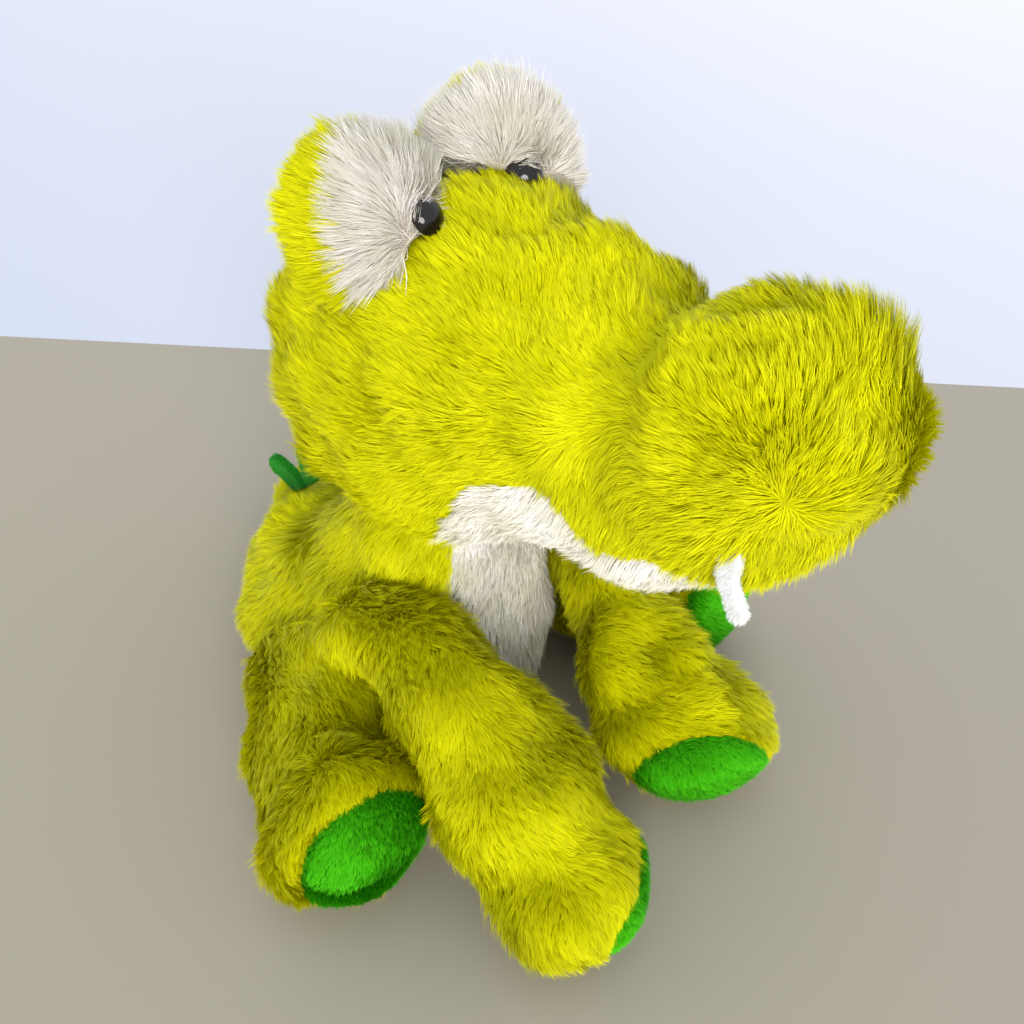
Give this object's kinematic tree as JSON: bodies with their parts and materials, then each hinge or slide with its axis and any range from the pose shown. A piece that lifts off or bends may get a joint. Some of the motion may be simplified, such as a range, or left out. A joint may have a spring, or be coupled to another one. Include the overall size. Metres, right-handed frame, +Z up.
{
  "type": "plush crocodile",
  "caption": "Seated bean-bag plush crocodile with a jointed head, floppy arms and legs and a curled tail, for play or display.",
  "frame": {"origin": "on the flat underside of the seat, in the middle plane", "axes": "+Z up, -Y the way the toy faces, +X its left"},
  "size_m": [0.1576, 0.2098, 0.1649],
  "materials": {
    "plush_yellow": "directional plush pile, chartreuse yellow",
    "plush_cream": "plush pile, cream white",
    "plush_green": "short plush pile, bright green",
    "felt_green": "felt, dark green",
    "felt_white": "felt, white",
    "fibre_fill": "loose polyester fibre",
    "pellet_bag": "thin bag filled with plastic pellets",
    "eye_plastic": "black, polished",
    "washer_plastic": "natural"
  },
  "bodies": {
    "torso": {"body_cover": "plush_yellow", "belly_panel": "plush_cream", "body_stuffing": "fibre_fill", "seat_pellet_pouch": "pellet_bag", "back_spike_1": "felt_green", "back_spike_2": "felt_green", "back_spike_3": "felt_green", "back_spike_4": "felt_green", "back_spike_5": "felt_green"},
    "neck": {"neck_stuffing": "fibre_fill"},
    "head": {"head_cover": "plush_yellow", "jaw_panel": "plush_cream", "head_stuffing": "fibre_fill", "eye_white_right": "plush_cream", "eye_back_right": "plush_yellow", "eye_stuffing_right": "fibre_fill", "eye_bead_right": "eye_plastic", "eye_washer_right": "washer_plastic", "tooth_right": "felt_white", "eye_white_left": "plush_cream", "eye_back_left": "plush_yellow", "eye_stuffing_left": "fibre_fill", "eye_bead_left": "eye_plastic", "eye_washer_left": "washer_plastic", "tooth_left": "felt_white"},
    "arm_right": {"arm_cover_right": "plush_yellow", "arm_stuffing_right": "fibre_fill", "paw_sole_right": "plush_green"},
    "arm_left": {"arm_cover_left": "plush_yellow", "arm_stuffing_left": "fibre_fill", "paw_sole_left": "plush_green"},
    "leg_right": {"leg_cover_right": "plush_yellow", "leg_stuffing_right": "fibre_fill", "foot_sole_right": "plush_green"},
    "leg_left": {"leg_cover_left": "plush_yellow", "leg_stuffing_left": "fibre_fill", "foot_sole_left": "plush_green"},
    "tail": {"tail_cover": "plush_yellow", "tail_stuffing": "fibre_fill", "tail_spike_1": "felt_green", "tail_spike_2": "felt_green", "tail_spike_3": "felt_green", "tail_spike_4": "felt_green", "tail_spike_5": "felt_green"}
  },
  "joints": [
    {"name": "neck_turn", "type": "hinge", "parent": "torso", "child": "neck", "pos_m": [0, -0.02, 0.09], "axis": [0, 0, 1], "range_deg": [-16, 16]},
    {"name": "head_nod", "type": "hinge", "parent": "neck", "child": "head", "pos_m": [0, -0.02, 0.09], "axis": [-1, 0, 0], "range_deg": [-5, 10]},
    {"name": "arm_right_lift", "type": "hinge", "parent": "torso", "child": "arm_right", "pos_m": [-0.033, -0.014, 0.049], "axis": [-1, 0, 0], "range_deg": [0, 20]},
    {"name": "arm_left_lift", "type": "hinge", "parent": "torso", "child": "arm_left", "pos_m": [0.033, -0.014, 0.049], "axis": [-1, 0, 0], "range_deg": [0, 20]},
    {"name": "leg_right_out", "type": "hinge", "parent": "torso", "child": "leg_right", "pos_m": [-0.026, 0, 0.026], "axis": [0, 0, -1], "range_deg": [0, 18]},
    {"name": "leg_left_out", "type": "hinge", "parent": "torso", "child": "leg_left", "pos_m": [0.026, 0, 0.026], "axis": [0, 0, 1], "range_deg": [0, 18]},
    {"name": "tail_swing", "type": "hinge", "parent": "torso", "child": "tail", "pos_m": [0, 0.042, 0.014], "axis": [0, 0, 1], "range_deg": [-18, 18]}
  ]
}
